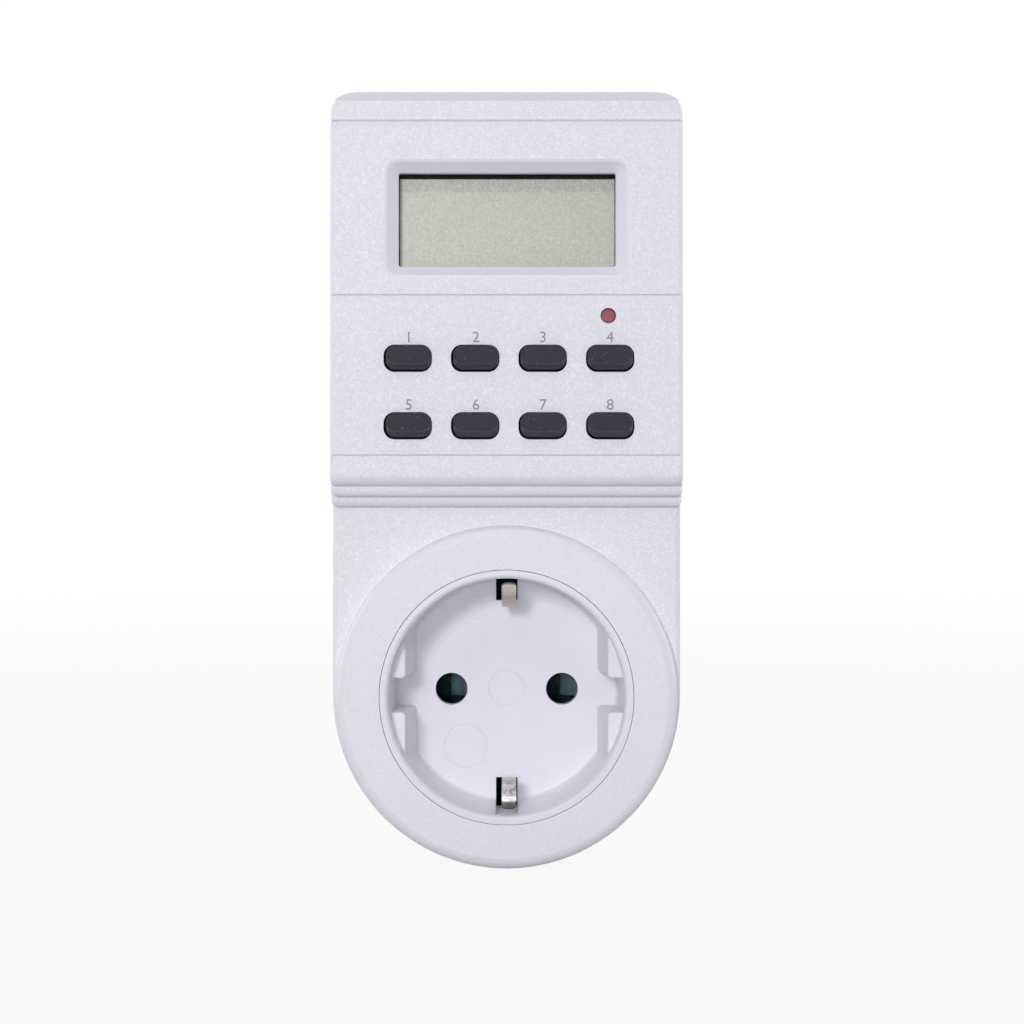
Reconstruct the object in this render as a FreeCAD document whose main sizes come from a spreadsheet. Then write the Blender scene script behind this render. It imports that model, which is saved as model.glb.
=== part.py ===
import FreeCAD, Part
import Sketcher
import math
import os
import re

# Plug-in timer: a two-shell housing with an earthed socket in front and the matching plug behind.
# X points right as seen from the front, the front faces -Y, Z points up. The origin is the middle
# of the plug's pin face. "Height" means the distance in front of that face, so height = -Y.

# Driving sizes in millimetres, by subject
SIZES = {
    "plug": {
        "pin_pitch": 19.0,
        "pin_radius": 2.4,
        "pin_root_radius": 2.9,
        "pin_length": 19.0,
        "plug_clear": 0.9,
        "plug_flat_deep": 2.2,
        "plug_tongue": 5.2,
        "plug_floor": 3.0,
        "plug_wall": 5.0,
        "earth_groove_wide": 7.0,
        "earth_groove_deep": 2.2,
        "earth_groove_long": 15.0,
    },
    "housing": {
        "body_margin": 9.3,
        "body_top": 99.6,
        "seam_step": 0.15,
        "corner_round": 4.4,
        "back": 17.5,
        "seam": 38.0,
        "flat": 54.5,
        "face": 58.5,
        "panel": 60.5,
        "wall": 2.0,
        "back_round": 1.6,
        "edge_round": 0.8,
        "lip_tall": 1.2,
        "lip_gap": 0.1,
        "boss_margin": 8.7,
        "boss_round": 1.7,
    },
    "front_relief": {
        "ledge_low": 34.62,
        "ledge_round": 1.9,
        "rib_pitch": 1.67,
        "rib_drop": 2.0,
        "rib_round": 1.1,
        "rib_corner": 1.8,
        "bevel_tall": 2.2,
        "bevel_deep": 4.0,
        "groove_top": 94.35,
        "groove_mid": 65.95,
        "groove_low": 39.8,
        "groove_tall": 1.5,
        "groove_deep": 0.45,
        "groove_wall": 0.24,
        "groove_step": 0.1,
        "groove_inset": 0.4,
    },
    "socket": {
        "mouth_radius": 19.5,
        "insert_lip": 1.35,
        "insert_gap": 0.1,
        "floor_draft": 0.3,
        "mouth_round": 0.6,
        "floor_round": 0.8,
        "recess_deep": 17.5,
        "floor_thick": 2.6,
        "flange_tall": 2.0,
        "collar_thick": 1.05,
        "pin_hole_radius": 2.75,
        "slot_wide": 3.7,
        "slot_long": 5.25,
        "slot_outer": 0.4,
        "slot_low": 2.2,
        "guide_thick": 2.8,
        "guide_notch": 5.6,
        "guide_setback": 4.0,
        "guide_slope": 1.2,
        "guide_corner": 0.8,
        "guide_round": 0.35,
    },
    "display": {
        "window_x": 0.1,
        "window_drop": 21.35,
        "frame_side": 9.1,
        "frame_tall": 18.8,
        "frame_corner": 2.0,
        "frame_deep": 1.8,
        "frame_ease": 0.25,
        "frame_slope_side": 1.9,
        "frame_slope_top": 1.7,
        "aperture_corner": 0.4,
        "lens_lip": 1.3,
        "lens_thick": 1.0,
        "lens_margin": 1.7,
        "lcd_edge_side": 0.07,
        "lcd_edge_top": 0.25,
        "lcd_thick": 2.2,
        "holder_lip": 0.4,
        "holder_wall": 1.2,
        "zebra_tall": 1.6,
        "zebra_wide": 1.6,
    },
    "keys": {
        "key_x": 0.4,
        "key_z": 49.95,
        "key_pitch": 11.0,
        "key_hole_wide": 7.9,
        "key_hole_tall": 4.45,
        "key_hole_corner": 1.8,
        "key_wide": 7.4,
        "key_tall": 3.95,
        "key_corner": 1.6,
        "key_lift": 0.12,
        "key_shift": 0.09,
        "mat_pitch": 10.94,
        "key_shoulder": 0.5,
        "key_proud": 1.8,
        "key_face_wide": 6.9,
        "key_face_tall": 3.05,
        "key_face_corner": 1.4,
        "key_face_lift": 0.34,
        "key_round": 0.2,
        "key_flange_edge": 0.9,
        "key_flange_thick": 1.6,
        "key_travel": 1.0,
        "mat_thick": 1.2,
        "mat_collar": 1.2,
        "pill_radius": 1.5,
        "pill_thick": 0.4,
        "reset_x": 16.6,
        "reset_z": 62.4,
        "reset_radius": 1.15,
        "reset_gap": 0.12,
        "reset_sunk": 0.6,
        "reset_flange": 2.2,
        "reset_switch": 2.4,
        "reset_travel": 0.5,
    },
    "boards": {
        "board_thick": 1.5,
        "board_gap": 0.4,
        "control_side": 4.3,
        "control_low": 35.6,
        "control_post_side": 2.2,
        "control_post_edge": 3.1,
        "control_post_radius": 1.8,
        "power_side": 3.3,
        "power_high": 87.0,
        "power_lift": 0.7,
        "power_corner": 3.0,
        "power_post_side": 4.5,
        "power_post_low": 31.0,
        "power_post_high": 83.0,
        "power_post_radius": 2.6,
    },
    "fasteners": {
        "post_radius": 3.3,
        "post_ring_inset": 2.5,
        "post_angle": 35.0,
        "post_corner": 4.2,
        "head_hole": 2.7,
        "head_radius": 2.4,
        "head_tall": 1.9,
        "head_seat": 31.0,
        "shank_hole": 1.5,
        "shank_radius": 1.1,
        "shank_long": 13.0,
        "small_head": 1.7,
        "small_head_tall": 1.3,
        "small_shank": 0.8,
        "small_shank_long": 4.6,
    },
    "contacts": {
        "strip_thick": 0.6,
        "earth_wide": 2.4,
        "earth_shift": 0.4,
        "earth_bow": 0.4,
        "earth_tip_in": 0.9,
        "earth_tip_round": 0.7,
        "earth_leg_in": 6.6,
        "earth_leg_wide": 5.0,
        "clip_clear": 0.8,
        "clip_half": 3.2,
        "clip_leaf_tall": 3.0,
        "clip_leaf_reach": 0.3,
        "clip_flare": 3.0,
        "pin_head_radius": 3.6,
        "pin_head_tall": 1.4,
        "lead_radius": 0.9,
    },
    "components": {
        "case_round": 0.8,
        "relay_x": -13.5,
        "relay_z": 50.0,
        "relay_wide": 19.0,
        "relay_tall": 15.5,
        "relay_deep": 15.6,
        "filter_x": 11.0,
        "filter_z": 40.0,
        "filter_wide": 18.0,
        "filter_tall": 7.5,
        "filter_deep": 13.5,
        "dropper_x": -11.0,
        "dropper_z": 74.0,
        "dropper_wide": 24.0,
        "dropper_tall": 10.0,
        "dropper_deep": 17.0,
        "large_can_x": 6.0,
        "large_can_z": 52.8,
        "large_can_radius": 5.0,
        "large_can_tall": 12.5,
        "small_can_x": 17.5,
        "small_can_z": 52.0,
        "small_can_radius": 4.0,
        "small_can_tall": 11.5,
        "battery_x": 14.0,
        "battery_z": 70.0,
        "battery_radius": 7.8,
        "battery_tall": 11.0,
        "diode_x": -23.0,
        "diode_z": 63.2,
        "diode_step": 3.5,
        "diode_radius": 1.35,
        "diode_long": 5.0,
        "resistor_x": -4.0,
        "resistor_z": 63.5,
        "resistor_step": 4.5,
        "resistor_radius": 1.2,
        "resistor_long": 6.4,
        "varistor_x": -14.0,
        "varistor_z": 37.0,
        "varistor_radius": 5.0,
        "varistor_thick": 4.0,
        "wire_radius": 0.35,
        "ribbon_z": 83.5,
        "ribbon_wide": 16.0,
        "ribbon_thick": 0.9,
        "blob_z": 62.0,
        "blob_radius": 7.0,
        "blob_ball": 11.0,
        "blob_tall": 2.0,
        "crystal_x": 14.0,
        "crystal_radius": 1.0,
        "crystal_long": 6.0,
    },
}
# Sizes that follow from the driving ones
FOLLOWING = {
    "insert_radius": "mouth_radius + insert_lip",
    "floor_radius": "mouth_radius - floor_draft",
    "slot_inner": "mouth_radius + insert_lip - slot_outer - slot_long",
    "guide_chord": "mouth_radius - guide_thick",
    "body_width": "2 * (mouth_radius + body_margin)",
    "boss_radius": "mouth_radius + boss_margin",
    "plug_radius": "mouth_radius - plug_clear",
    "plug_flat": "plug_radius - plug_flat_deep",
    "plug_cavity": "plug_radius - plug_wall",
    "earth_crest": "slot_inner - earth_bow",
    "earth_tip": "mouth_radius - earth_tip_in",
    "earth_leg": "plug_radius - earth_leg_in",
    "window_z": "body_top - window_drop",
    "frame_wide": "body_width - 2 * frame_side",
    "aperture_wide": "frame_wide - 2 * frame_slope_side",
    "aperture_tall": "frame_tall - 2 * frame_slope_top",
    "lcd_view_wide": "aperture_wide - 2 * lcd_edge_side",
    "lcd_view_tall": "aperture_tall - 2 * lcd_edge_top",
    "control_wide": "body_width - 2 * control_side",
    "control_post_x": "control_wide / 2 - control_post_side",
    "power_wide": "body_width - 2 * power_side",
    "power_post_x": "power_wide / 2 - power_post_side",
}
V = FreeCAD.Vector
doc = FreeCAD.newDocument("PlugInTimer")
sheet = doc.addObject("Spreadsheet::Sheet", "Sizes")
row = 1
NAMES = set()
for subject, sizes in SIZES.items():
    sheet.set("A%d" % row, subject)
    row += 1
    for name, number in sizes.items():
        sheet.set("A%d" % row, name)
        sheet.set("B%d" % row, str(number))
        sheet.setAlias("B%d" % row, name)
        NAMES.add(name)
        row += 1
doc.recompute()
for name, formula in FOLLOWING.items():
    sheet.set("A%d" % row, name)
    sheet.set("B%d" % row, "=" + formula)
    sheet.setAlias("B%d" % row, name)
    NAMES.add(name)
    row += 1
    doc.recompute()


def linked(text):
    """The expression with each size name pointed at its cell of the sheet."""
    return re.sub(r"[a-z_]+", lambda word: "Sizes." + word[0] if word[0] in NAMES else word[0], text)


def value(text):
    return float(sheet.evalExpression(linked(text)))


# Heights worked out from the driving sizes
INSIDE_BACK = "(back + wall)"
INSIDE_PANEL = "(panel - wall)"
INSIDE_FLAT = "(flat - wall)"
INSIDE_FACE = "(face - wall)"
SOCKET_FLOOR = "(face - recess_deep)"
FLOOR_BACK = "(face - recess_deep - floor_thick)"
COLLAR_END = "(face - recess_deep - floor_thick + flange_tall)"
LENS_FRONT = "(panel - wall - lens_lip)"
LENS_BACK = "(panel - wall - lens_lip - lens_thick)"
LCD_FRONT = "(panel - wall - lens_lip - lens_thick - holder_lip)"
LCD_BACK = "(panel - wall - lens_lip - lens_thick - holder_lip - lcd_thick)"
CONTROL_FRONT = "(panel - wall - lens_lip - lens_thick - holder_lip - lcd_thick - zebra_tall)"
CONTROL_BACK = "(%s - board_thick)" % CONTROL_FRONT
MAT_TOP = "(%s + mat_thick + mat_collar)" % CONTROL_FRONT
POWER_BACK = "(back + wall + power_lift)"
POWER_FRONT = "(back + wall + power_lift + board_thick)"
LCD_Z = "(window_z - 0.35)"
POST_RING = "(body_width / 2 - wall - post_ring_inset)"
LOW_POST_X = "(%s * cos(post_angle))" % POST_RING
LOW_POST_Z = "(-%s * sin(post_angle))" % POST_RING
TOP_POST_X = "(body_width / 2 - wall - post_corner)"
TOP_POST_Z = "(body_top - wall - post_corner - 0.6)"
CONTROL_HIGH = "(%s - post_radius - board_gap)" % TOP_POST_Z
CONTROL_POST_LOW = "(control_low + control_post_edge)"
CONTROL_POST_HIGH = "(%s - control_post_edge)" % CONTROL_HIGH


def new_body(label):
    body = doc.addObject("PartDesign::Body", label)
    body.Label = label
    return body


def plane(body, role):
    return next(f for f in body.Origin.OriginFeatures if f.Role == role)


def new_sketch(body, height, role="XZ_Plane"):
    """A sketch in front of the plug face, or on another origin plane at that distance."""
    sketch = body.newObject("Sketcher::SketchObject", body.Label + "_sketch")
    sketch.AttachmentSupport = [(plane(body, role), "")]
    sketch.MapMode = "FlatFace"
    sketch.setExpression("AttachmentOffset.Base.z", linked(height))
    return sketch


def hold(sketch, kind, text, *where):
    """Adds a dimension whose number comes from an expression."""
    index = sketch.addConstraint(Sketcher.Constraint(kind, *where, value(text)))
    sketch.setExpression("Constraints[%d]" % index, linked(text))


def circle(sketch, x, z, radius):
    index = sketch.addGeometry(Part.Circle(V(value(x), value(z), 0), V(0, 0, 1), value(radius)), False)
    hold(sketch, "Radius", radius, index)
    hold(sketch, "DistanceX", x, -1, 1, index, 3)
    hold(sketch, "DistanceY", z, -1, 1, index, 3)


def polygon(sketch, points):
    """Closed outline through points given as pairs of expressions."""
    first = sketch.GeometryCount
    spots = [V(value(a), value(b), 0) for a, b in points]
    for here, there in zip(spots, spots[1:] + spots[:1]):
        sketch.addGeometry(Part.LineSegment(here, there), False)
    for step in range(len(spots)):
        after = first + (step + 1) % len(spots)
        sketch.addConstraint(Sketcher.Constraint("Coincident", first + step, 2, after, 1))
    for step, (a, b) in enumerate(points):
        hold(sketch, "DistanceX", a, -1, 1, first + step, 1)
        hold(sketch, "DistanceY", b, -1, 1, first + step, 1)


def rectangle(sketch, x, z, wide, tall):
    left, right = "(%s) - (%s) / 2" % (x, wide), "(%s) + (%s) / 2" % (x, wide)
    low, high = "(%s) - (%s) / 2" % (z, tall), "(%s) + (%s) / 2" % (z, tall)
    polygon(sketch, [(left, low), (right, low), (right, high), (left, high)])


def arc(sketch, x, z, radius, start, end):
    circle_shape = Part.Circle(V(x, z, 0), V(0, 0, 1), radius)
    angles = [math.radians(start), math.radians(end)]
    return sketch.addGeometry(Part.ArcOfCircle(circle_shape, *angles), False)


def line(sketch, x1, z1, x2, z2):
    return sketch.addGeometry(Part.LineSegment(V(x1, z1, 0), V(x2, z2, 0)), False)


def tangent_chain(sketch, pieces):
    """Joins (geometry, start point, end point) pieces end to end, each tangent to the next."""
    for (one, _, leave), (two, enter, _) in zip(pieces, pieces[1:] + pieces[:1]):
        sketch.addConstraint(Sketcher.Constraint("Tangent", one, leave, two, enter))


def rounded(sketch, sides, corner_low, corner_top):
    """Rectangle with rounded corners: sides are the left, right, low and top expressions."""
    x1, x2, z1, z2 = [value(side) for side in sides]
    low, top = value(corner_low), value(corner_top)
    south = line(sketch, x1 + low, z1, x2 - low, z1)
    southeast = arc(sketch, x2 - low, z1 + low, low, 270, 360)
    east = line(sketch, x2, z1 + low, x2, z2 - top)
    northeast = arc(sketch, x2 - top, z2 - top, top, 0, 90)
    north = line(sketch, x2 - top, z2, x1 + top, z2)
    northwest = arc(sketch, x1 + top, z2 - top, top, 90, 180)
    west = line(sketch, x1, z2 - top, x1, z1 + low)
    southwest = arc(sketch, x1 + low, z1 + low, low, 180, 270)
    chain = [south, southeast, east, northeast, north, northwest, west, southwest]
    tangent_chain(sketch, [(piece, 1, 2) for piece in chain])
    sketch.addConstraint(Sketcher.Constraint("Horizontal", south))
    sketch.addConstraint(Sketcher.Constraint("Horizontal", north))
    sketch.addConstraint(Sketcher.Constraint("Vertical", east))
    sketch.addConstraint(Sketcher.Constraint("Vertical", west))
    sketch.addConstraint(Sketcher.Constraint("Equal", southeast, southwest))
    sketch.addConstraint(Sketcher.Constraint("Equal", northeast, northwest))
    hold(sketch, "Radius", corner_low, southeast)
    hold(sketch, "Radius", corner_top, northeast)
    hold(sketch, "DistanceX", sides[0], -1, 1, west, 1)
    hold(sketch, "DistanceX", sides[1], -1, 1, east, 1)
    hold(sketch, "DistanceY", sides[2], -1, 1, south, 1)
    hold(sketch, "DistanceY", sides[3], -1, 1, north, 1)


def rounded_box(sketch, x, z, wide, tall, corner):
    left, right = "(%s) - (%s) / 2" % (x, wide), "(%s) + (%s) / 2" % (x, wide)
    low, high = "(%s) - (%s) / 2" % (z, tall), "(%s) + (%s) / 2" % (z, tall)
    rounded(sketch, [left, right, low, high], corner, corner)


def arch(sketch, half, top, corner):
    """The housing's outline: straight sides, rounded top corners, a half circle round the socket."""
    side, high, turn = value(half), value(top), value(corner)
    west = line(sketch, -side, 0, -side, high - turn)
    northwest = arc(sketch, -side + turn, high - turn, turn, 90, 180)
    north = line(sketch, -side + turn, high, side - turn, high)
    northeast = arc(sketch, side - turn, high - turn, turn, 0, 90)
    east = line(sketch, side, high - turn, side, 0)
    south = arc(sketch, 0, 0, side, 180, 360)
    pieces = [(west, 1, 2), (northwest, 2, 1), (north, 1, 2), (northeast, 2, 1), (east, 1, 2), (south, 2, 1)]
    tangent_chain(sketch, pieces)
    sketch.addConstraint(Sketcher.Constraint("Vertical", west))
    sketch.addConstraint(Sketcher.Constraint("Horizontal", north))
    sketch.addConstraint(Sketcher.Constraint("Vertical", east))
    sketch.addConstraint(Sketcher.Constraint("Coincident", south, 3, -1, 1))
    sketch.addConstraint(Sketcher.Constraint("Equal", northwest, northeast))
    hold(sketch, "Radius", half, south)
    hold(sketch, "Radius", corner, northwest)
    hold(sketch, "DistanceY", top, -1, 1, north, 1)


def feature(kind, body, sketch, length, flip=False):
    made = body.newObject("PartDesign::" + kind, body.Label + "_" + kind.lower())
    made.Profile = sketch
    made.setExpression("Length", linked(length))
    made.Reversed = flip
    return made


def pad(body, sketch, length):
    return feature("Pad", body, sketch, length)


def pocket(body, sketch, length, flip=False):
    """Cuts from the sketch towards the plug, or towards the front where it is flipped."""
    return feature("Pocket", body, sketch, length, flip)


def revolve(body, sketch):
    made = body.newObject("PartDesign::Revolution", body.Label + "_revolution")
    made.Profile = sketch
    made.ReferenceAxis = (sketch, ["V_Axis"])
    made.Angle = 360
    return made


def fillet(body, base, radius, chosen):
    """Rounds the edges of the base feature that the chosen function says yes to."""
    doc.recompute()
    names = ["Edge%d" % (i + 1) for i, edge in enumerate(base.Shape.Edges) if chosen(edge)]
    made = body.newObject("PartDesign::Fillet", body.Label + "_fillet")
    made.Base = (base, names)
    made.setExpression("Radius", linked(radius))
    return made


def at_height(edge, height):
    """Whether an edge lies all in the plane at a height in front of the plug face."""
    box = edge.BoundBox
    return abs(box.YMin + height) < 0.01 and abs(box.YMax + height) < 0.01


def placed(shape, x, z, height):
    shape.setExpression("Placement.Base.x", linked(x))
    shape.setExpression("Placement.Base.y", linked("-(%s)" % height))
    shape.setExpression("Placement.Base.z", linked(z))
    return shape


def block(label, x, z, height, wide, tall, deep):
    """A box centred on x and z that stands from a height towards the front."""
    made = doc.addObject("Part::Box", label)
    made.Label = label
    made.setExpression("Length", linked(wide))
    made.setExpression("Width", linked(deep))
    made.setExpression("Height", linked(tall))
    corner = "(%s) - (%s) / 2" % (x, wide), "(%s) - (%s) / 2" % (z, tall), "(%s) + (%s)" % (height, deep)
    return placed(made, *corner)


def rod(label, x, z, height, radius, deep):
    """A cylinder that stands from a height towards the front."""
    made = doc.addObject("Part::Cylinder", label)
    made.Label = label
    made.setExpression("Radius", linked(radius))
    made.setExpression("Height", linked(deep))
    made.Placement = FreeCAD.Placement(V(), FreeCAD.Rotation(V(1, 0, 0), 90))
    return placed(made, x, z, height)


def lying_rod(label, x, z, height, radius, long):
    """A cylinder that lies along Z, centred on x, z and height."""
    made = doc.addObject("Part::Cylinder", label)
    made.Label = label
    made.setExpression("Radius", linked(radius))
    made.setExpression("Height", linked(long))
    return placed(made, x, "(%s) - (%s) / 2" % (z, long), height)


def fuse(label, shapes):
    made = doc.addObject("Part::MultiFuse", label)
    made.Label = label
    made.Shapes = shapes
    return made


def cut(label, base, tool):
    made = doc.addObject("Part::Cut", label)
    made.Label = label
    made.Base = base
    made.Tool = tool
    return made


def group(label, shapes):
    """Identical pieces that share one node as separate solids."""
    made = doc.addObject("Part::Compound", label)
    made.Label = label
    made.Links = shapes
    return made


def bent_strip(points, thick, left, wide):
    """Sheet metal bent along (height, z) points, which are its inner face, and wide along X."""
    spots = [V(value(left), -value(height), value(z)) for height, z in points]
    face = Part.makePolygon(spots).makeOffset2D(value(thick), 0, True, True, False)
    return face.extrude(V(value(wide), 0, 0))


def fixed_shape(label, shape):
    made = doc.addObject("Part::Feature", label)
    made.Label = label
    made.Shape = shape
    return made


NODES = []


def node(made):
    NODES.append(made)
    return made


def front_cover():
    body = new_body("front_cover")
    # Outer form: the arched tray with its top bevel, stepped down in front of the socket
    base = new_sketch(body, "seam")
    arch(base, "body_width / 2", "body_top", "corner_round")
    pad(body, base, "panel - seam")
    bevel = new_sketch(body, "body_width", "YZ_Plane")
    polygon(bevel, [("-panel", "body_top - bevel_tall"), ("-panel - 1", "body_top - bevel_tall"),
                    ("-panel - 1", "body_top + 2"), ("-panel + bevel_deep", "body_top + 2"),
                    ("-panel + bevel_deep", "body_top")])
    pocket(body, bevel, "2 * body_width")
    for step in range(3):
        shelf = new_sketch(body, "panel")
        low_side(shelf, "body_width / 2 + rib_corner / 4", "ledge_low - %d * rib_pitch" % step, "rib_corner")
        pocket(body, shelf, "panel - flat - %d * rib_drop" % (2 - step))

    # Relief across the front: rounded steps, three shallow grooves, rounded side edges
    rounds = new_sketch(body, "body_width", "YZ_Plane")
    corner_cut(rounds, "panel", "ledge_low", "ledge_round")
    for step in [1, 2]:
        step_low = "ledge_low - %d * rib_pitch" % step
        corner_cut(rounds, "flat + %d * rib_drop" % (3 - step), step_low, "rib_round")
    rounded_steps = pocket(body, rounds, "2 * body_width")
    upper, lower = value("panel"), value("flat")
    side = value("body_width / 2")
    rounded_sides = fillet(body, rounded_steps, "edge_round",
                           lambda e: at_height(e, upper) and abs(abs(e.CenterOfMass.x) - side) < 0.01)
    ledge = value("ledge_low - 2 * rib_pitch")
    fillet(body, rounded_sides, "edge_round",
           lambda edge: at_height(edge, lower) and edge.Length > 20 and edge.CenterOfMass.z < ledge - 0.1)
    grooves = new_sketch(body, "body_width / 2 - groove_inset", "YZ_Plane")
    for height in ["groove_top", "groove_mid", "groove_low"]:
        steep = height + " - groove_wall"
        ramp_end = height + " - groove_tall"
        polygon(grooves, [("-panel", height), ("-panel + groove_deep", steep),
                          ("-panel + groove_step", ramp_end), ("-panel", ramp_end)])
    pocket(body, grooves, "body_width - 2 * groove_inset")

    # Round boss about the socket
    boss = new_sketch(body, "flat - 1.5 * edge_round")
    circle(boss, "0", "0", "boss_radius")
    boss_pad = pad(body, boss, "face - flat + 1.5 * edge_round")
    level, reach = value("face"), value("2 * boss_radius")
    fillet(body, boss_pad, "boss_round",
           lambda edge: at_height(edge, level) and abs(edge.BoundBox.XLength - reach) < 0.01)

    # Window frame that slopes in to the display aperture
    outer = new_sketch(body, "panel")
    rounded_box(outer, "window_x", "window_z", "frame_wide + 2 * frame_ease", "frame_tall + 2 * frame_ease",
                "frame_corner + frame_ease")
    eased = new_sketch(body, "panel - 0.7 * frame_ease")
    rounded_box(eased, "window_x", "window_z", "frame_wide - 1.4 * frame_ease",
                "frame_tall - 1.4 * frame_ease", "frame_corner - 0.7 * frame_ease")
    inner = new_sketch(body, "panel - frame_deep")
    rounded_box(inner, "window_x", "window_z", "aperture_wide", "aperture_tall", "aperture_corner")
    slope = body.newObject("PartDesign::SubtractiveLoft", "window_slope")
    slope.Profile = outer
    slope.Sections = [eased, inner]
    slope.Ruled = True

    # Hollow inside
    hollow = new_sketch(body, INSIDE_FLAT)
    arch(hollow, "body_width / 2 - wall", "body_top - wall", "corner_round - wall / 2")
    pocket(body, hollow, INSIDE_FLAT + " - seam + 1")
    room = new_sketch(body, INSIDE_PANEL)
    inner_half = "(body_width / 2 - wall)"
    room_sides = ["-" + inner_half, inner_half, "ledge_low + wall", "body_top - wall - bevel_deep / 4"]
    rounded(room, room_sides, "rib_corner", "corner_round - wall / 2")
    pocket(body, room, "%s - %s" % (INSIDE_PANEL, INSIDE_FLAT))
    ring = new_sketch(body, INSIDE_FACE)
    circle(ring, "0", "0", "insert_radius + insert_gap + collar_thick")
    circle(ring, "0", "0", "boss_radius - wall")
    pocket(body, ring, "%s - %s" % (INSIDE_FACE, INSIDE_FLAT))
    rebate = new_sketch(body, "seam + lip_tall + lip_gap")
    arch(rebate, "body_width / 2 - wall / 2", "body_top - wall / 2", "corner_round - wall / 2")
    pocket(body, rebate, "lip_tall + lip_gap + 1")

    # Collar that guides the socket insert, screw posts, board posts and the lens seat
    collar = new_sketch(body, COLLAR_END)
    circle(collar, "0", "0", "insert_radius + insert_gap")
    circle(collar, "0", "0", "insert_radius + insert_gap + collar_thick")
    pad(body, collar, "%s - %s" % (INSIDE_FACE, COLLAR_END))
    low_posts = new_sketch(body, "seam")
    top_posts = new_sketch(body, "seam")
    for side_sign in ["-", ""]:
        circle(low_posts, side_sign + LOW_POST_X, LOW_POST_Z, "post_ring_inset - 2 * insert_gap")
        circle(top_posts, side_sign + TOP_POST_X, TOP_POST_Z, "post_radius")
    pad(body, low_posts, INSIDE_FACE + " - seam")
    pad(body, top_posts, INSIDE_PANEL + " - seam")
    board_posts = new_sketch(body, CONTROL_FRONT)
    for x in ["-control_post_x", "control_post_x"]:
        for z in [CONTROL_POST_LOW, CONTROL_POST_HIGH]:
            circle(board_posts, x, z, "control_post_radius")
    pad(body, board_posts, "%s - %s" % (INSIDE_PANEL, CONTROL_FRONT))
    seat = new_sketch(body, LENS_FRONT)
    rounded_box(seat, "window_x", "window_z", "aperture_wide + 2 * lens_margin",
                "aperture_tall + 2 * lens_margin", "aperture_corner")
    pad(body, seat, "lens_lip + 0.1")

    # Openings: socket bore, display aperture, key and reset holes, screw pilots
    bore = new_sketch(body, "panel")
    circle(bore, "0", "0", "insert_radius + insert_gap")
    pocket(body, bore, "panel - " + INSIDE_FLAT)
    aperture = new_sketch(body, "panel - frame_deep")
    rounded_box(aperture, "window_x", "window_z", "aperture_wide", "aperture_tall", "aperture_corner")
    pocket(body, aperture, "panel - frame_deep - %s + 1" % LENS_FRONT)
    pilots = new_sketch(body, "seam")
    for side_sign in ["-", ""]:
        circle(pilots, side_sign + LOW_POST_X, LOW_POST_Z, "shank_radius")
        circle(pilots, side_sign + TOP_POST_X, TOP_POST_Z, "shank_radius")
    pocket(body, pilots, "shank_long - (seam - head_seat) + 1", flip=True)
    small_pilots = new_sketch(body, CONTROL_FRONT)
    for x in ["-control_post_x", "control_post_x"]:
        for z in [CONTROL_POST_LOW, CONTROL_POST_HIGH]:
            circle(small_pilots, x, z, "small_shank")
    pocket(body, small_pilots, "small_shank_long - board_thick + 0.5", flip=True)
    reset = new_sketch(body, "panel")
    circle(reset, "reset_x", "reset_z", "reset_radius + reset_gap")
    pocket(body, reset, "wall + 0.5")
    key_hole = new_sketch(body, "panel")
    rounded_box(key_hole, "key_x - 1.5 * key_pitch", "key_z - key_pitch / 2",
                "key_hole_wide", "key_hole_tall", "key_hole_corner")
    first_hole = pocket(body, key_hole, "wall + 0.5")
    grid = body.newObject("PartDesign::MultiTransform", "key_hole_grid")
    grid.Originals = [first_hole]
    columns = body.newObject("PartDesign::LinearPattern", "key_hole_columns")
    columns.Direction = (key_hole, ["H_Axis"])
    columns.setExpression("Length", linked("3 * key_pitch"))
    columns.Occurrences = 4
    rows = body.newObject("PartDesign::LinearPattern", "key_hole_rows")
    rows.Direction = (key_hole, ["V_Axis"])
    rows.setExpression("Length", linked("key_pitch"))
    rows.Occurrences = 2
    grid.Transformations = [columns, rows]
    body.Tip = grid
    return node(body)


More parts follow.
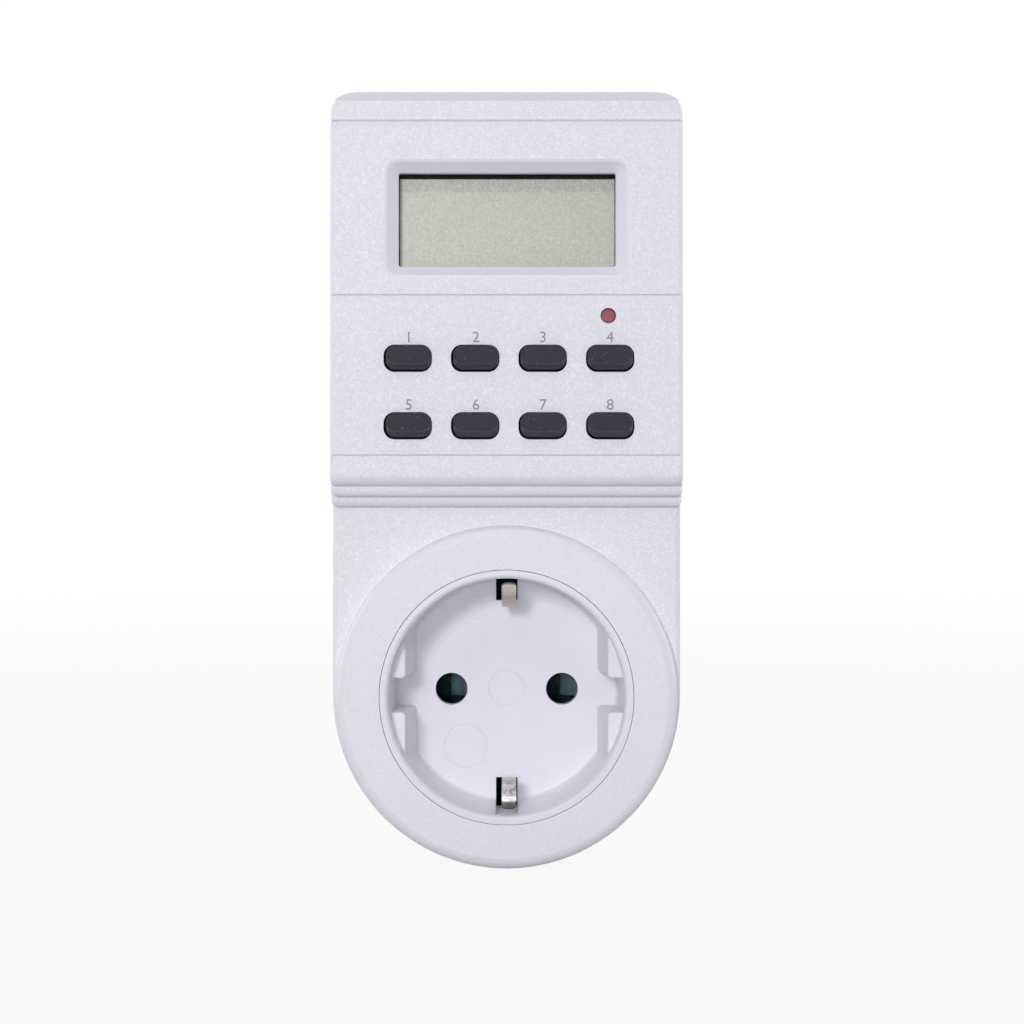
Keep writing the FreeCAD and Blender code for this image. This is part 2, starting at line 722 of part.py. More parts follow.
def low_side(sketch, half, low, corner):
    """All that lies below a level, with the level's ends curving up at the housing's sides."""
    side, level, turn = value(half), value(low), value(corner)
    far = 2 * side
    north = line(sketch, -side + turn, level, side - turn, level)
    northeast = arc(sketch, side - turn, level + turn, turn, 270, 360)
    east_out = line(sketch, side, level + turn, far, level + turn)
    east = line(sketch, far, level + turn, far, -far)
    south = line(sketch, far, -far, -far, -far)
    west = line(sketch, -far, -far, -far, level + turn)
    west_out = line(sketch, -far, level + turn, -side, level + turn)
    northwest = arc(sketch, -side + turn, level + turn, turn, 180, 270)
    sketch.addConstraint(Sketcher.Constraint("Tangent", north, 2, northeast, 1))
    sketch.addConstraint(Sketcher.Constraint("Tangent", northwest, 2, north, 1))
    ring = [(northeast, 2, east_out, 1), (east_out, 2, east, 1), (east, 2, south, 1), (south, 2, west, 1),
            (west, 2, west_out, 1), (west_out, 2, northwest, 1)]
    for joint in ring:
        sketch.addConstraint(Sketcher.Constraint("Coincident", *joint))
    for flat_line in [north, east_out, south, west_out]:
        sketch.addConstraint(Sketcher.Constraint("Horizontal", flat_line))
    for upright in [east, west]:
        sketch.addConstraint(Sketcher.Constraint("Vertical", upright))
    sketch.addConstraint(Sketcher.Constraint("Equal", northeast, northwest))
    hold(sketch, "Radius", corner, northeast)
    hold(sketch, "DistanceX", half, -1, 1, northeast, 2)
    hold(sketch, "DistanceX", "-(%s)" % half, -1, 1, northwest, 1)
    hold(sketch, "DistanceY", low, -1, 1, north, 1)
    hold(sketch, "DistanceY", "(%s) + (%s)" % (low, corner), -1, 1, northeast, 2)
    hold(sketch, "DistanceX", "2 * (%s)" % half, -1, 1, east, 2)
    hold(sketch, "DistanceX", "-2 * (%s)" % half, -1, 1, west, 1)
    hold(sketch, "DistanceY", "-2 * (%s)" % half, -1, 1, south, 2)


def corner_cut(sketch, height, low, radius):
    """The corner left outside a quarter round on a step's front lower edge."""
    front, base, turn = -value(height), value(low), value(radius)
    wall_line = line(sketch, front + turn, base, front, base)
    face_line = line(sketch, front, base, front, base + turn)
    quarter = arc(sketch, front + turn, base + turn, turn, 180, 270)
    sketch.addConstraint(Sketcher.Constraint("Coincident", wall_line, 2, face_line, 1))
    sketch.addConstraint(Sketcher.Constraint("Tangent", face_line, 2, quarter, 1))
    sketch.addConstraint(Sketcher.Constraint("Tangent", quarter, 2, wall_line, 1))
    sketch.addConstraint(Sketcher.Constraint("Horizontal", wall_line))
    sketch.addConstraint(Sketcher.Constraint("Vertical", face_line))
    hold(sketch, "Radius", radius, quarter)
    hold(sketch, "DistanceX", "-(%s)" % height, -1, 1, face_line, 1)
    hold(sketch, "DistanceY", low, -1, 1, face_line, 1)


def rear_cover():
    body = new_body("rear_cover")
    # Outer form: the arched tray with a rounded back edge, and the round plug
    base = new_sketch(body, "back")
    arch(base, "body_width / 2 - seam_step", "body_top - seam_step", "corner_round - seam_step")
    tray = pad(body, base, "seam - back")
    level = value("back")
    fillet(body, tray, "back_round", lambda edge: at_height(edge, level))
    plug = new_sketch(body, "0")
    circle(plug, "0", "0", "plug_radius")
    plug_pad = pad(body, plug, INSIDE_BACK)
    fillet(body, plug_pad, "edge_round", lambda edge: at_height(edge, 0))

    # Hollow inside the tray and the plug
    hollow = new_sketch(body, "seam")
    arch(hollow, "body_width / 2 - wall", "body_top - wall", "corner_round - wall / 2")
    pocket(body, hollow, "seam - " + INSIDE_BACK)
    cavity = new_sketch(body, INSIDE_BACK + " + 1")
    circle(cavity, "0", "0", "plug_cavity")
    pocket(body, cavity, INSIDE_BACK + " + 1 - plug_floor")

    # Plug details: side flats beside the tongues, earth grooves with their slots, pin holes
    flats = new_sketch(body, "0")
    for x in ["-", ""]:
        for z in ["-", ""]:
            rectangle(flats, x + "(plug_flat + 2)", z + "(plug_tongue / 2 + 4.5)", "4", "9")
    pocket(body, flats, "back", flip=True)
    grooves = new_sketch(body, "0")
    slots = new_sketch(body, "earth_groove_long - 3 * strip_thick")
    for z in ["-", ""]:
        middle = z + "(plug_radius - earth_groove_deep + 2)"
        rectangle(grooves, "0", middle, "earth_groove_wide", "4")
        rectangle(slots, "0", z + "(plug_cavity + 1.5)", "earth_leg_wide + 0.6", "7")
    pocket(body, grooves, "earth_groove_long", flip=True)
    pocket(body, slots, "3 * strip_thick", flip=True)
    holes = new_sketch(body, "0")
    for x in ["-pin_pitch / 2", "pin_pitch / 2"]:
        circle(holes, x, "0", "pin_root_radius")
    pocket(body, holes, "plug_floor + 0.5", flip=True)

    # Seam lip, screw posts with counterbores, board posts
    lip = new_sketch(body, "seam - 0.5")
    inset = "wall / 2 - lip_gap"
    arch(lip, "body_width / 2 - " + inset, "body_top - " + inset, "corner_round - wall / 2")
    arch(lip, "body_width / 2 - wall", "body_top - wall", "corner_round - wall / 2 - 0.5")
    pad(body, lip, "lip_tall + 0.5")
    low_posts = new_sketch(body, INSIDE_BACK + " - 0.5")
    heads = new_sketch(body, "back")
    shanks = new_sketch(body, "back")
    for side_sign in ["-", ""]:
        for x, z in [(LOW_POST_X, LOW_POST_Z), (TOP_POST_X, TOP_POST_Z)]:
            circle(low_posts, side_sign + x, z, "post_radius + 0.2")
            circle(heads, side_sign + x, z, "head_hole")
            circle(shanks, side_sign + x, z, "shank_hole")
    pad(body, low_posts, "seam - %s + 0.5" % INSIDE_BACK)
    board_posts = new_sketch(body, INSIDE_BACK + " - 0.5")
    pilots = new_sketch(body, POWER_BACK)
    for x in ["-power_post_x", "power_post_x"]:
        for z in ["power_post_low", "power_post_high"]:
            circle(board_posts, x, z, "power_post_radius")
            circle(pilots, x, z, "small_shank")
    pad(body, board_posts, "power_lift + 0.5")
    pocket(body, heads, "head_seat - back", flip=True)
    pocket(body, shanks, "seam - back + 1", flip=True)
    pocket(body, pilots, "power_lift + wall - 0.6")
    return node(body)


def socket_insert():
    body = new_body("socket_insert")
    cup = new_sketch(body, "0", "XY_Plane")
    rim = "(insert_radius + collar_thick)"
    polygon(cup, [("0", "-%s" % FLOOR_BACK), (rim, "-%s" % FLOOR_BACK), (rim, "-%s" % COLLAR_END),
                  ("insert_radius", "-%s" % COLLAR_END), ("insert_radius", "-face"),
                  ("mouth_radius", "-face"), ("floor_radius", "-%s" % SOCKET_FLOOR),
                  ("0", "-%s" % SOCKET_FLOOR)])
    turned = revolve(body, cup)
    level, inner = value("face"), value("mouth_radius")
    mouth = lambda edge: at_height(edge, level) and edge.Length < 2 * math.pi * inner + 0.1
    rounded_mouth = fillet(body, turned, "mouth_round", mouth)
    base_level, across = value(SOCKET_FLOOR), value("2 * floor_radius")
    fillet(body, rounded_mouth, "floor_round",
           lambda edge: at_height(edge, base_level) and abs(edge.BoundBox.XLength - across) < 0.01)

    # Guide blocks that widen towards the floor, with a notch between each pair
    reach = "(insert_radius - 0.6)"
    for x in ["-", ""]:
        for z in ["-", ""]:
            outlines = []
            for height, chord in [(SOCKET_FLOOR + " - 0.5", "(guide_chord - guide_slope)"),
                                  ("face - guide_setback", "guide_chord")]:
                outlines.append(new_sketch(body, height))
                far_z = z + "(sqrt(floor_radius^2 - %s^2) + 0.6)" % chord
                near_z = z + "guide_notch / 2"
                polygon(outlines[-1], [(x + chord, near_z), (x + reach, near_z),
                                       (x + "(%s + 1.4)" % chord, far_z), (x + chord, far_z)])
            guides = body.newObject("PartDesign::AdditiveLoft", "guide_block")
            guides.Profile = outlines[0]
            guides.Sections = [outlines[1]]
            guides.Ruled = True
    front, chord, notch = value("face - guide_setback"), value("guide_chord"), value("guide_notch / 2")
    upright = fillet(body, guides, "guide_corner",
                     lambda e: e.BoundBox.YLength > 10 and abs(e.CenterOfMass.x) < chord
                     and abs(abs(e.CenterOfMass.z) - notch) < 0.01)
    fillet(body, upright, "guide_round",
           lambda edge: at_height(edge, front) and abs(edge.CenterOfMass.x) < chord + 1)

    # Earth slots through floor and wall, and the pin holes
    slots = new_sketch(body, "face - slot_low")
    for z in ["-", ""]:
        rectangle(slots, "0", z + "(slot_inner + slot_long / 2)", "slot_wide", "slot_long")
    pocket(body, slots, "face - slot_low - %s + 1" % FLOOR_BACK)
    holes = new_sketch(body, SOCKET_FLOOR)
    for x in ["-pin_pitch / 2", "pin_pitch / 2"]:
        circle(holes, x, "0", "pin_hole_radius")
    pocket(body, holes, "floor_thick + 1")
    return node(body)


def display():
    lens_wide, lens_tall = "aperture_wide + 2 * lens_margin", "aperture_tall + 2 * lens_margin"
    node(block("display_window", "window_x", "window_z", LENS_BACK, lens_wide, lens_tall, "lens_thick"))
    # The holder is a frame with a thin lip in front of the glass and walls down to the board
    holder = new_body("lcd_holder")
    outer = new_sketch(holder, CONTROL_FRONT)
    rounded_box(outer, "window_x", "window_z", lens_wide, lens_tall, "aperture_corner")
    pad(holder, outer, "%s - %s" % (LENS_BACK, CONTROL_FRONT))
    view = new_sketch(holder, LENS_BACK)
    rectangle(view, "window_x", LCD_Z, "lcd_view_wide", "lcd_view_tall")
    pocket(holder, view, "%s - %s" % (LENS_BACK, CONTROL_FRONT))
    glass = new_sketch(holder, LCD_FRONT)
    glass_wide = "(aperture_wide + 2 * lens_margin - 2 * holder_wall)"
    glass_tall = "(aperture_tall + 2 * lens_margin - 2 * holder_wall)"
    rectangle(glass, "window_x", "window_z", glass_wide, glass_tall)
    pocket(holder, glass, "%s - %s" % (LCD_FRONT, CONTROL_FRONT))
    node(holder)
    node(block("lcd_panel", "window_x", "window_z", LCD_BACK, glass_wide, glass_tall, "lcd_thick"))
    strips = []
    for side_sign in ["-", "+"]:
        z = "window_z %s (%s / 2 - zebra_wide)" % (side_sign, glass_tall)
        name = "zebra_low" if side_sign == "-" else "zebra_high"
        strip_long = glass_wide + " - 3"
        strips.append(block(name, "window_x", z, CONTROL_FRONT, strip_long, "zebra_wide", "zebra_tall"))
    node(group("zebra_strips", strips))


def control_board():
    body = new_body("control_board")
    plate = new_sketch(body, CONTROL_BACK)
    half = "control_wide / 2"
    rounded(plate, ["-" + half, half, "control_low", CONTROL_HIGH], "rib_corner", "rib_corner")
    pad(body, plate, "board_thick")
    holes = new_sketch(body, CONTROL_FRONT)
    screws = []
    for x in ["-control_post_x", "control_post_x"]:
        for z in [CONTROL_POST_LOW, CONTROL_POST_HIGH]:
            circle(holes, x, z, "small_shank + 0.2")
            name = "control_screw_%d" % (len(screws) + 1)
            head_low, shank_low = CONTROL_BACK + " - small_head_tall", CONTROL_BACK + " - 0.2"
            head = rod(name + "_head", x, z, head_low, "small_head", "small_head_tall")
            shank = rod(name + "_shank", x, z, shank_low, "small_shank", "small_shank_long + 0.2")
            screws.append(fuse(name, [head, shank]))
    pocket(body, holes, "board_thick + 1")
    node(body)
    node(group("control_board_screws", screws))
    # Epoxy-covered controller and the clock crystal on the back of the board
    blob = doc.addObject("Part::Sphere", "blob_sphere")
    blob.setExpression("Radius", linked("blob_ball"))
    placed(blob, "0", "blob_z", CONTROL_BACK + " + blob_ball - blob_tall")
    keep = rod("blob_keep", "0", "blob_z", CONTROL_BACK + " - 2 * blob_tall", "blob_radius", "2 * blob_tall")
    common = doc.addObject("Part::Common", "controller_blob")
    common.Label = "controller_blob"
    common.Base = blob
    common.Tool = keep
    node(common)
    middle = CONTROL_BACK + " - crystal_radius"
    crystal = lying_rod("crystal_can", "crystal_x", "blob_z", middle, "crystal_radius", "crystal_long")
    leg_z = "blob_z - crystal_long / 2 - crystal_radius + 0.2"
    legs = [block("crystal_leg_%d" % i, "crystal_x + %g" % x, leg_z, middle + " + 0.1", "0.4", "2.4", "0.4")
            for i, x in enumerate([-0.4, 0.4])]
    node(fuse("clock_crystal", [crystal] + legs))


def keypad():
    rows = ["key_z + key_pitch / 2", "key_z - key_pitch / 2"]
    columns = ["key_x + key_shift %+.1f * mat_pitch" % step for step in [-1.5, -0.5, 0.5, 1.5]]
    labels = [["week_key", "hour_key", "minute_key", "recall_key"],
              ["clock_key", "timer_key", "mode_key", "random_key"]]
    # One silicone mat with a raised collar under each key
    mat = new_body("keypad_mat")
    sheet_sketch = new_sketch(mat, CONTROL_FRONT)
    rounded_box(sheet_sketch, "key_x", "key_z", "3 * key_pitch + key_hole_wide + 1.6",
                "key_pitch + key_hole_tall + 2.4", "rib_corner")
    pad(mat, sheet_sketch, "mat_thick")
    collars = new_sketch(mat, CONTROL_FRONT + " + mat_thick")
    wells = new_sketch(mat, MAT_TOP)
    for z in rows:
        for x in columns:
            rounded_box(collars, x, z + " + key_lift", "key_wide + 2 * key_flange_edge",
                        "key_tall + 2 * key_flange_edge", "key_corner")
            rounded_box(wells, x, z + " + key_lift", "key_wide - 0.6", "key_tall", "key_corner - 0.1")
    pad(mat, collars, "mat_collar")
    pocket(mat, wells, "mat_thick + mat_collar + 1")
    node(mat)
    for z, names in zip(rows, labels):
        for x, label in zip(columns, names):
            key(label, x, z + " + key_lift")


def key(label, x, z):
    """A keytop that narrows to a raised face, with a flange under the panel and a stub for its pill."""
    body = new_body(label)
    flange = new_sketch(body, MAT_TOP)
    flange_wide, flange_tall = "key_wide + 2 * key_flange_edge", "key_tall + 2 * key_flange_edge"
    rounded_box(flange, x, z, flange_wide, flange_tall, "key_corner")
    pad(body, flange, "key_flange_thick")
    stem = new_sketch(body, MAT_TOP + " + key_flange_thick")
    rounded_box(stem, x, z, "key_wide", "key_tall", "key_corner")
    pad(body, stem, "panel + key_shoulder - %s - key_flange_thick" % MAT_TOP)
    shoulder = new_sketch(body, "panel + key_shoulder")
    rounded_box(shoulder, x, z, "key_wide", "key_tall", "key_corner")
    face = new_sketch(body, "panel + key_proud")
    rounded_box(face, x, z + " + key_face_lift", "key_face_wide", "key_face_tall", "key_face_corner")
    crown = body.newObject("PartDesign::AdditiveLoft", label + "_crown")
    crown.Profile = shoulder
    crown.Sections = [face]
    crown.Ruled = True
    level = value("panel + key_proud")
    fillet(body, crown, "key_round", lambda edge: at_height(edge, level))
    pill_top = "(%s + key_travel + 0.05 + pill_thick)" % CONTROL_FRONT
    stub = new_sketch(body, pill_top)
    circle(stub, x, z, "pill_radius + 0.2")
    pad(body, stub, "%s - %s" % (MAT_TOP, pill_top))
    node(body)
    node(rod(label + "_pill", x, z, pill_top + " - pill_thick", "pill_radius", "pill_thick"))


def reset_button():
    switch_top = "(%s + reset_switch)" % CONTROL_FRONT
    pin_low = switch_top + " + reset_travel + 0.05"
    body = new_body("reset_button")
    stem = new_sketch(body, pin_low)
    circle(stem, "reset_x", "reset_z", "reset_radius")
    pad(body, stem, "panel - reset_sunk - (%s)" % pin_low)
    flange = new_sketch(body, INSIDE_PANEL + " - 1.3")
    circle(flange, "reset_x", "reset_z", "reset_flange")
    pad(body, flange, "1.2")
    node(body)
    housing = block("switch_case", "reset_x", "reset_z", CONTROL_FRONT, "4.6", "4.6", "reset_switch")
    bore = rod("switch_bore", "reset_x", "reset_z", switch_top + " - 1.5", "0.95", "3")
    node(cut("reset_switch_case", housing, bore))
    node(rod("reset_switch_plunger", "reset_x", "reset_z", switch_top + " - 0.9", "0.8",
             "reset_travel + 0.95"))


def power_board():
    body = new_body("power_board")
    half = "power_wide / 2"
    plate = new_sketch(body, POWER_BACK)
    arch(plate, half, "power_high", "power_corner")
    pad(body, plate, "board_thick")
    # Cleared for the screw posts, the board screws, the earth legs and the plug leads
    holes = new_sketch(body, POWER_FRONT)
    screws = []
    for x in ["-", ""]:
        circle(holes, x + LOW_POST_X, LOW_POST_Z, "post_radius + 0.6")
        circle(holes, x + "pin_pitch / 2", "0", "lead_radius")
        for z in ["power_post_low", "power_post_high"]:
            circle(holes, x + "power_post_x", z, "small_shank + 0.2")
            name = "power_screw_%d" % (len(screws) + 1)
            head = rod(name + "_head", x + "power_post_x", z, POWER_FRONT, "small_head", "small_head_tall")
            low = POWER_FRONT + " - board_thick - power_lift - 1"
            shank = rod(name + "_shank", x + "power_post_x", z, low, "small_shank",
                        "board_thick + power_lift + 1.2")
            screws.append(fuse(name, [head, shank]))
    for z in ["-", ""]:
        middle = z + "(earth_leg + strip_thick / 2)"
        rectangle(holes, "0", middle, "earth_leg_wide + 1", "strip_thick + 1")
    pocket(body, holes, "board_thick + 1")
    node(body)
    node(group("power_board_screws", screws))


def power_parts():
    """The mains parts that stand on the power board above the socket."""
    node(moulded_case("relay", "relay"))
    node(moulded_case("suppression_capacitor", "filter"))
    node(moulded_case("dropper_capacitor", "dropper"))
    node(group("smoothing_capacitors", [can("large_can", "large_can"), can("small_can", "small_can")]))
    node(can("backup_battery", "battery"))
    node(axial_parts("rectifier_diodes", "diode", 4))
    node(axial_parts("resistors", "resistor", 3))
    disc = doc.addObject("Part::Cylinder", "varistor_disc")
    disc.setExpression("Radius", linked("varistor_radius"))
    disc.setExpression("Height", linked("varistor_thick"))
    disc.Placement = FreeCAD.Placement(V(), FreeCAD.Rotation(V(0, 1, 0), 90))
    placed(disc, "varistor_x", "varistor_z", POWER_FRONT + " + varistor_radius + 1.5")
    legs = [rod("varistor_leg_%d" % i, "varistor_x + varistor_thick / 2", "varistor_z %+g" % step,
                POWER_FRONT, "wire_radius", "varistor_radius - 1") for i, step in enumerate([-3.5, 3.5])]
    node(fuse("varistor", [disc] + legs))
    run = [(POWER_FRONT, "ribbon_z"), (POWER_FRONT + " + 8", "ribbon_z"),
           (POWER_FRONT + " + 14", "ribbon_z + 1.5"), (CONTROL_BACK, "ribbon_z + 1.5")]
    node(fixed_shape("ribbon_cable", bent_strip(run, "ribbon_thick", "-ribbon_wide / 2", "ribbon_wide")))


def moulded_case(label, kind):
    """A moulded component case with rounded upper edges, standing on the power board."""
    body = new_body(label)
    foot = new_sketch(body, POWER_FRONT)
    rectangle(foot, kind + "_x", kind + "_z", kind + "_wide", kind + "_tall")
    made = pad(body, foot, kind + "_deep")
    low = -value(POWER_FRONT)
    fillet(body, made, "case_round", lambda e: e.BoundBox.YMax < low - 0.1 or e.BoundBox.YLength > 1)
    return body


def can(label, kind):
    """A round can with a pressed groove near its foot, standing on the power board."""
    body = new_body(label)
    profile = new_sketch(body, "0", "XY_Plane")
    radius, tall = value(kind + "_radius"), value(kind + "_tall")
    groove = 0.06 * radius + 0.2
    steps = [(0, 0), (radius, 0), (radius, 1.2), (radius - groove, 1.7), (radius, 2.2),
             (radius, tall - 0.6), (radius - 0.6, tall), (0, tall)]
    polygon(profile, [(str(r), "-%s - %g" % (POWER_FRONT, up)) for r, up in steps])
    revolve(body, profile)
    body.setExpression("Placement.Base.x", linked(kind + "_x"))
    body.setExpression("Placement.Base.z", linked(kind + "_z"))
    return body


def axial_parts(label, kind, count):
    """Parts with a lead out of each end, lying side by side just above the board."""
    made = []
    z, radius, long = kind + "_z", kind + "_radius", kind + "_long"
    lift = "(%s + %s + 0.8)" % (POWER_FRONT, radius)
    for i in range(count):
        name = "%s_%d" % (label, i + 1)
        x = "%s_x + %d * %s_step" % (kind, i, kind)
        pieces = [lying_rod(name + "_body", x, z, lift, radius, long),
                  lying_rod(name + "_wire", x, z, lift, "wire_radius", long + " + 3.2")]
        for side_sign in ["-", "+"]:
            foot_z = "%s %s (%s / 2 + 1.4)" % (z, side_sign, long)
            foot = name + ("_low" if side_sign == "-" else "_high")
            foot_tall = radius + " + 0.8 + wire_radius + 0.05"
            pieces.append(rod(foot, x, foot_z, POWER_FRONT, "wire_radius + 0.05", foot_tall))
        made.append(fuse(name, pieces))
    return group(label, made)


def contacts():
    for label, x in [("live_pin", "-pin_pitch / 2"), ("neutral_pin", "pin_pitch / 2")]:
        body = new_body(label)
        shape = new_sketch(body, "0", "XY_Plane")
        tip = "(pin_radius - 1.1)"
        polygon(shape, [("0", "pin_length"), (tip, "pin_length"), ("pin_radius", "pin_length - 1.6"),
                        ("pin_radius", "0"), ("pin_root_radius", "0"),
                        ("pin_root_radius", "-plug_floor"), ("pin_head_radius", "-plug_floor"),
                        ("pin_head_radius", "-plug_floor - pin_head_tall"),
                        ("lead_radius", "-plug_floor - pin_head_tall"),
                        ("lead_radius", "-%s - 0.6" % POWER_FRONT), ("0", "-%s - 0.6" % POWER_FRONT)])
        revolve(body, shape)
        body.setExpression("Placement.Base.x", linked(x))
        node(body)
    for label, x in [("live_clip", "-pin_pitch / 2"), ("neutral_clip", "pin_pitch / 2")]:
        top = "(%s - clip_clear)" % FLOOR_BACK
        tall = "%s - %s" % (top, POWER_FRONT)
        wall_piece = block(label + "_side", x + " - clip_half - strip_thick / 2", "0", POWER_FRONT,
                           "strip_thick", "2 * clip_half", tall)
        back_piece = block(label + "_spine", x, "clip_half - strip_thick / 2", POWER_FRONT,
                           "2 * clip_half + strip_thick", "strip_thick", tall)
        leaf = doc.addObject("Part::Feature", label + "_leaf")
        outer = value(x + " + clip_half")
        inner = value(x + " + clip_leaf_reach")
        high, low = value(top), value(POWER_FRONT)
        bend = high - value("clip_flare")
        path = [V(outer, -low - 1, 0), V(outer, -low - 4, 0), V(inner, -bend, 0), V(outer, -high, 0)]
        flat = Part.makePolygon(path).makeOffset2D(value("strip_thick"), 0, True, True, False)
        half = value("clip_leaf_tall") / 2
        leaf.Shape = flat.translated(V(0, 0, -half)).extrude(V(0, 0, half + value("clip_half")))
        node(fuse(label, [wall_piece, back_piece, leaf]))
    earth_strap()


def earth_strap():
    """One bent strap: springs in the socket's slots, a bridge behind it, legs to the plug's grooves."""
    bridge = FLOOR_BACK + " - strip_thick / 2"
    spring_left = "earth_shift - earth_wide / 2"
    leg_left = "-earth_leg_wide / 2"
    shapes = []
    for side in ["-", ""]:
        root = side + "(slot_inner + 2.2)"
        spring = [(bridge, "0"), (bridge, root), (SOCKET_FLOOR + " + 2", root)]
        bow = [spring[-1], (SOCKET_FLOOR + " + 8.5", side + "earth_crest"), ("face - 3", side + "earth_tip")]
        leg = [(bridge, side + "(earth_leg - 3)"), (bridge, side + "earth_leg"),
               ("earth_groove_long - 1.5 * strip_thick", side + "earth_leg"),
               ("earth_groove_long - 1.5 * strip_thick", side + "(plug_radius - 0.8)"),
               ("2.5", side + "(plug_radius - 0.8)")]
        leaf = centred_strip(spring, spring_left, "earth_wide", bow)
        tip, thick = -value("face - 3"), value("strip_thick")
        corners = [edge for edge in leaf.Edges
                   if edge.Length < 1.5 * thick and abs(edge.CenterOfMass.y - tip) < thick]
        shapes.append(leaf.makeFillet(value("earth_tip_round"), corners))
        shapes.append(centred_strip(leg, leg_left, "earth_leg_wide"))
    node(fixed_shape("earth_strap", shapes[0].fuse(shapes[1:]).removeSplitter()))


def centred_strip(points, left, wide, bow=None):
    """Sheet metal with its mid-plane on the (height, z) points, and then on an arc through three more."""
    spots = [V(value(left), -value(height), value(z)) for height, z in points]
    spine = Part.makePolygon(spots)
    if bow:
        arc_spots = [V(value(left), -value(height), value(z)) for height, z in bow]
        spine = Part.Wire(spine.Edges + [Part.Arc(*arc_spots).toShape()])
    half = value("strip_thick") / 2
    sides = [spine.makeOffset2D(offset, 0, True, True, False) for offset in [half, -half]]
    solids = [side.extrude(V(value(wide), 0, 0)) for side in sides]
    return solids[0].fuse(solids[1]).removeSplitter()


def housing_screws():
    screws = []
    for side_sign in ["-", ""]:
        for x, z in [(LOW_POST_X, LOW_POST_Z), (TOP_POST_X, TOP_POST_Z)]:
            name = "housing_screw_%d" % (len(screws) + 1)
            head = rod(name + "_head", side_sign + x, z, "head_seat - head_tall", "head_radius", "head_tall")
            shank_name = name + "_shank"
            shank = rod(shank_name, side_sign + x, z, "head_seat - 0.2", "shank_radius", "shank_long + 0.2")
            screws.append(fuse(name, [head, shank]))
    node(group("housing_screws", screws))


front_cover()
rear_cover()
socket_insert()
display()
control_board()
keypad()
reset_button()
power_board()
power_parts()
contacts()
housing_screws()
doc.recompute()

failed = [item.Label for item in doc.Objects if {"Invalid", "Error"} & set(item.State)]
if failed:
    raise RuntimeError("objects that failed: %s" % ", ".join(failed))
for item in NODES:
    if item.Shape.isNull() or not item.Shape.isValid() or not item.Shape.Solids:
        raise RuntimeError("%s has no valid solid" % item.Label)
os.makedirs("parts", exist_ok=True)
for item in NODES:
    item.Shape.exportStep("parts/%s.step" % item.Label)
print(len(NODES), "nodes,", sum(len(item.Shape.Solids) for item in NODES), "solids")
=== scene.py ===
import math

import bmesh
import bpy
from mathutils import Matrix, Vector


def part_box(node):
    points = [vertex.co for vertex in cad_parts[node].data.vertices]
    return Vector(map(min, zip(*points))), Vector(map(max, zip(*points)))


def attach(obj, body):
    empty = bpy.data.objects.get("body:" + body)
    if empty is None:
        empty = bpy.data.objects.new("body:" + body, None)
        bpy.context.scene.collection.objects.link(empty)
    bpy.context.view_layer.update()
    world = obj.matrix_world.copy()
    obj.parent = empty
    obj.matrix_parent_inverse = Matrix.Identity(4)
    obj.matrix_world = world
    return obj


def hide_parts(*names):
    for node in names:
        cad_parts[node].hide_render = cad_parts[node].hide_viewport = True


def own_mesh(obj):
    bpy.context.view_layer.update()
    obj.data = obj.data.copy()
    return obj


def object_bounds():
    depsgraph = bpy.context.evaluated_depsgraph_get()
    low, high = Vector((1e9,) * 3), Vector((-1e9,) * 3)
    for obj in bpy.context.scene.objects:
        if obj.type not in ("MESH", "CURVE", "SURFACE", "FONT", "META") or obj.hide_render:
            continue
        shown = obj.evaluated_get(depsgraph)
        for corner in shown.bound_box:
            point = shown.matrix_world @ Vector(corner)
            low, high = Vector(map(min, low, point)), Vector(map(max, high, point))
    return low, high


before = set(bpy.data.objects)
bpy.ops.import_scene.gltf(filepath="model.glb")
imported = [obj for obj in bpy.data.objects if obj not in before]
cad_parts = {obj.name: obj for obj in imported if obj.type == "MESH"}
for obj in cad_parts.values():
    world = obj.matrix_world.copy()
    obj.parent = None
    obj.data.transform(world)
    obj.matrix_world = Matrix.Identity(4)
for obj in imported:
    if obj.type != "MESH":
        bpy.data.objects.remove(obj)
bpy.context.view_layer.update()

# Plug-in timer. Metres, X to the right, Z up, and the front faces -Y, where the camera is.
# The materials work in millimetres on the same axes.
MM = 0.001
WHITE = (1.0, 1.0, 1.0, 1.0)


class Wire:
    """One value among the nodes, so that sums on it read as plain Python."""

    def __init__(self, nodes, socket):
        self.nodes = nodes
        self.socket = socket

    def __add__(self, other):
        return self.nodes.math("ADD", self, other)

    def __sub__(self, other):
        return self.nodes.math("SUBTRACT", self, other)

    def __rsub__(self, other):
        return self.nodes.math("SUBTRACT", other, self)

    def __mul__(self, other):
        return self.nodes.math("MULTIPLY", self, other)

    __radd__ = __add__
    __rmul__ = __mul__


